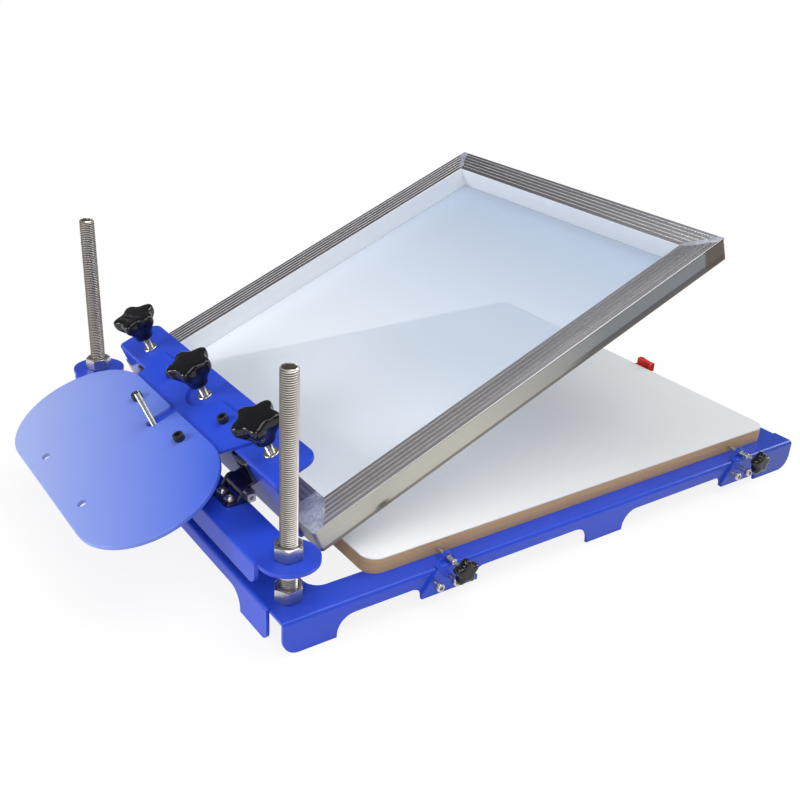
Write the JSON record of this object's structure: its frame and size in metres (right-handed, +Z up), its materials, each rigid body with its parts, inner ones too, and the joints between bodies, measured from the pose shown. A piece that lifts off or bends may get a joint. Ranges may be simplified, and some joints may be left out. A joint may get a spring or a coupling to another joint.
{
  "type": "tabletop screen printing press",
  "caption": "One-colour bench screen printing press: folded sheet base, flat print board, hinged clamp head on threaded studs holding a raised mesh screen.",
  "frame": {"origin": "centre of the bounding box at rest, on the table that the feet stand on", "axes": "+X from the hinge towards the operator, +Y across towards the far side, +Z up"},
  "size_m": [0.785, 0.54, 0.2834],
  "materials": {
    "blue_paint": "fine-textured powder coat",
    "pale_blue_paint": "smooth satin powder coat",
    "board_core": "sanded and sealed edge",
    "laminate": "satin laminate",
    "threaded_steel": "bright rolled thread",
    "bright_steel": "bright machined",
    "black_chrome": "dark polished plating",
    "black_screws": "black oxide",
    "black_plastic": "moulded gloss",
    "pad_plastic": "moulded matte",
    "frame_aluminium": "extruded, welded and ground at the corners",
    "mesh_cloth": "tight open weave",
    "red_plastic": "moulded satin"
  },
  "bodies": {
    "base": {"base_frame": "blue_paint", "board_core": "board_core", "board_laminate": "laminate", "near_stud": "threaded_steel", "far_stud": "threaded_steel", "near_base_nuts": "bright_steel", "far_base_nuts": "bright_steel", "rear_register_bracket": "blue_paint", "front_register_bracket": "blue_paint", "rear_register_barrel": "bright_steel", "front_register_barrel": "bright_steel", "bracket_bolts": "bright_steel", "edge_stops": "pad_plastic", "edge_stop_bolts": "bright_steel", "cam_screw": "bright_steel"},
    "head": {"crossbar": "blue_paint", "near_hinge_bracket": "black_chrome", "far_hinge_bracket": "black_chrome", "near_hinge_pin": "black_chrome", "far_hinge_pin": "black_chrome", "hinge_end_blocks": "bright_steel", "hinge_screws": "bright_steel"},
    "near_nuts": {"near_crossbar_nuts": "bright_steel"},
    "far_nuts": {"far_crossbar_nuts": "bright_steel"},
    "clamp": {"near_hinge_leaf": "black_chrome", "far_hinge_leaf": "black_chrome", "clamp_channel": "blue_paint", "clamp_inserts": "bright_steel", "link_plate": "blue_paint", "weight_plate": "pale_blue_paint", "link_bolts": "black_screws", "weight_bolts": "black_screws", "link_nuts": "bright_steel", "weight_nuts": "bright_steel", "stop_lock_nut": "bright_steel"},
    "near_pad": {"near_pressure_pad": "pad_plastic"},
    "middle_pad": {"middle_pressure_pad": "pad_plastic"},
    "far_pad": {"far_pressure_pad": "pad_plastic"},
    "near_knob": {"near_clamp_screw": "threaded_steel", "near_clamp_knob": "black_plastic"},
    "middle_knob": {"middle_clamp_screw": "threaded_steel", "middle_clamp_knob": "black_plastic"},
    "far_knob": {"far_clamp_screw": "threaded_steel", "far_clamp_knob": "black_plastic"},
    "stop_swivel": {"stop_foot": "pad_plastic"},
    "stop_screw": {"stop_bolt": "threaded_steel"},
    "screen": {"near_frame_bar": "frame_aluminium", "far_frame_bar": "frame_aluminium", "rear_frame_bar": "frame_aluminium", "front_frame_bar": "frame_aluminium", "screen_mesh": "mesh_cloth"},
    "rear_tip": {"rear_register_tip": "bright_steel"},
    "front_tip": {"front_register_tip": "bright_steel"},
    "rear_register": {"rear_register_screw": "threaded_steel", "rear_register_knob": "black_plastic"},
    "front_register": {"front_register_screw": "threaded_steel", "front_register_knob": "black_plastic"},
    "lever": {"cam_lever": "red_plastic"}
  },
  "joints": [
    {"name": "head_height", "type": "slide", "parent": "base", "child": "head", "axis": [0, 0, 1], "range_m": [0, 0.1]},
    {"name": "near_nut_turn", "type": "hinge", "parent": "head", "child": "near_nuts", "pos_m": [-0.25755, -0.21, 0.076], "axis": [0, 0, 1], "range_deg": [0, 18000]},
    {"name": "far_nut_turn", "type": "hinge", "parent": "head", "child": "far_nuts", "pos_m": [-0.25755, 0.238, 0.076], "axis": [0, 0, 1], "range_deg": [0, 18000]},
    {"name": "screen_lift", "type": "hinge", "parent": "head", "child": "clamp", "pos_m": [-0.24685, 0.014, 0.084], "axis": [0, -1, 0], "range_deg": [-22.7, 0]},
    {"name": "near_pad_lift", "type": "slide", "parent": "clamp", "child": "near_pad", "axis": [-0.3859, 0, 0.9225], "range_m": [0, 0.02]},
    {"name": "near_knob_turn", "type": "hinge", "parent": "near_pad", "child": "near_knob", "pos_m": [-0.23294, -0.124, 0.1399], "axis": [-0.3859, 0, 0.9225], "range_deg": [0, 5760]},
    {"name": "middle_pad_lift", "type": "slide", "parent": "clamp", "child": "middle_pad", "axis": [-0.3859, 0, 0.9225], "range_m": [0, 0.02]},
    {"name": "middle_knob_turn", "type": "hinge", "parent": "middle_pad", "child": "middle_knob", "pos_m": [-0.23294, 0.014, 0.1399], "axis": [-0.3859, 0, 0.9225], "range_deg": [0, 5760]},
    {"name": "far_pad_lift", "type": "slide", "parent": "clamp", "child": "far_pad", "axis": [-0.3859, 0, 0.9225], "range_m": [0, 0.02]},
    {"name": "far_knob_turn", "type": "hinge", "parent": "far_pad", "child": "far_knob", "pos_m": [-0.23294, 0.152, 0.1399], "axis": [-0.3859, 0, 0.9225], "range_deg": [0, 5760]},
    {"name": "stop_travel", "type": "slide", "parent": "clamp", "child": "stop_swivel", "axis": [-0.3859, 0, 0.9225], "range_m": [0, 0.01]},
    {"name": "stop_turn", "type": "hinge", "parent": "stop_swivel", "child": "stop_screw", "pos_m": [-0.28336, 0.014, 0.11013], "axis": [-0.3859, 0, 0.9225], "range_deg": [0, 3600]},
    {"name": "screen_out", "type": "slide", "parent": "clamp", "child": "screen", "axis": [0.9225, 0, 0.3859], "range_m": [0, 0.06]},
    {"name": "rear_tip_travel", "type": "slide", "parent": "base", "child": "rear_tip", "axis": [0, -1, 0], "range_m": [0, 0.01]},
    {"name": "rear_register_turn", "type": "hinge", "parent": "rear_tip", "child": "rear_register", "pos_m": [-0.10755, -0.245, 0.0406], "axis": [0, -1, 0], "range_deg": [0, 7200]},
    {"name": "front_tip_travel", "type": "slide", "parent": "base", "child": "front_tip", "axis": [0, -1, 0], "range_m": [0, 0.01]},
    {"name": "front_register_turn", "type": "hinge", "parent": "front_tip", "child": "front_register", "pos_m": [0.30245, -0.245, 0.0406], "axis": [0, -1, 0], "range_deg": [0, 7200]},
    {"name": "lever_turn", "type": "hinge", "parent": "base", "child": "lever", "pos_m": [0.37745, -0.015, 0.034], "axis": [0, 0, 1], "range_deg": [0, 100]}
  ],
  "couplings": [
    {"joint": "near_nut_turn", "follows": "head_height", "rad_per_m": 3141.6},
    {"joint": "far_nut_turn", "follows": "head_height", "rad_per_m": 3141.6},
    {"joint": "near_knob_turn", "follows": "near_pad_lift", "rad_per_m": 5026.5},
    {"joint": "middle_knob_turn", "follows": "middle_pad_lift", "rad_per_m": 5026.5},
    {"joint": "far_knob_turn", "follows": "far_pad_lift", "rad_per_m": 5026.5},
    {"joint": "stop_turn", "follows": "stop_travel", "rad_per_m": 6283.2},
    {"joint": "rear_register_turn", "follows": "rear_tip_travel", "rad_per_m": 12566},
    {"joint": "front_register_turn", "follows": "front_tip_travel", "rad_per_m": 12566}
  ]
}
